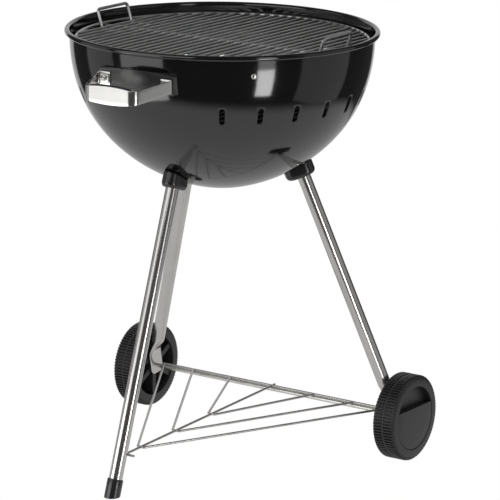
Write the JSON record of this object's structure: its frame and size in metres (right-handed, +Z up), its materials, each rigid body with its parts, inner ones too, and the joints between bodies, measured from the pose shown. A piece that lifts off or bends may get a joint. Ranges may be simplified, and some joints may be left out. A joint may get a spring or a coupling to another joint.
{
  "type": "kettle charcoal grill",
  "caption": "Open kettle charcoal grill: enamelled bowl with lift-off wire grates, on a steel tube tripod with wheels, a foot, a wire shelf and side handles.",
  "frame": {"origin": "on the ground, under the centre of the bowl", "axes": "+Z up; -X towards the leg with the foot; +X towards the axle; -Y towards the front, with a group of vent slots"},
  "size_m": [0.7264, 0.6464, 0.825],
  "materials": {
    "enamel": "gloss",
    "chrome_tube": "polished",
    "satin_steel": "satin",
    "black_plastic": "satin",
    "wheel_plastic": "matte",
    "grate_wire": "satin",
    "rack_wire": "satin",
    "fastener": "polished"
  },
  "bodies": {
    "frame": {"bowl": "enamel", "grate_bracket_front": "satin_steel", "grate_bracket_right": "satin_steel", "grate_bracket_rear": "satin_steel", "left_handle_strap": "satin_steel", "right_handle_strap": "satin_steel", "bracket_screw_front": "fastener", "bracket_screw_right": "fastener", "bracket_screw_rear": "fastener", "bracket_nut_front": "fastener", "bracket_nut_right": "fastener", "bracket_nut_rear": "fastener", "leg_plug_foot": "fastener", "leg_plug_front": "fastener", "leg_plug_rear": "fastener", "socket_screw_foot": "fastener", "socket_screw_front": "fastener", "socket_screw_rear": "fastener", "axle": "fastener", "front_axle_washer": "fastener", "front_axle_cap": "fastener", "rear_axle_washer": "fastener", "rear_axle_cap": "fastener", "left_handle_bolt_a": "fastener", "left_handle_bolt_b": "fastener", "left_handle_nut_a": "fastener", "left_handle_nut_b": "fastener", "right_handle_bolt_a": "fastener", "right_handle_bolt_b": "fastener", "right_handle_nut_a": "fastener", "right_handle_nut_b": "fastener", "leg_socket_foot": "black_plastic", "leg_socket_front": "black_plastic", "leg_socket_rear": "black_plastic", "foot_cap": "black_plastic", "left_handle_liner": "black_plastic", "left_handle_shield": "black_plastic", "right_handle_liner": "black_plastic", "right_handle_shield": "black_plastic", "foot_leg": "chrome_tube", "front_wheel_leg": "chrome_tube", "rear_wheel_leg": "chrome_tube", "storage_rack": "rack_wire"},
    "front_wheel_body": {"front_wheel": "wheel_plastic", "front_wheel_cover": "wheel_plastic"},
    "rear_wheel_body": {"rear_wheel": "wheel_plastic", "rear_wheel_cover": "wheel_plastic"},
    "cooking_grate_body": {"cooking_grate": "grate_wire"},
    "charcoal_grate_body": {"charcoal_grate": "grate_wire"}
  },
  "joints": [
    {"name": "front_wheel_roll", "type": "hinge", "parent": "frame", "child": "front_wheel_body", "pos_m": [0.17836, -0.2995, 0.081], "axis": [0, 1, 0], "continuous": true},
    {"name": "rear_wheel_roll", "type": "hinge", "parent": "frame", "child": "rear_wheel_body", "pos_m": [0.17836, 0.2995, 0.081], "axis": [0, 1, 0], "continuous": true},
    {"name": "cooking_grate_lift", "type": "slide", "parent": "frame", "child": "cooking_grate_body", "axis": [0, 0, 1], "range_m": [0, 0.15]},
    {"name": "charcoal_grate_lift", "type": "slide", "parent": "frame", "child": "charcoal_grate_body", "axis": [0, 0, 1], "range_m": [0, 0.12]}
  ]
}
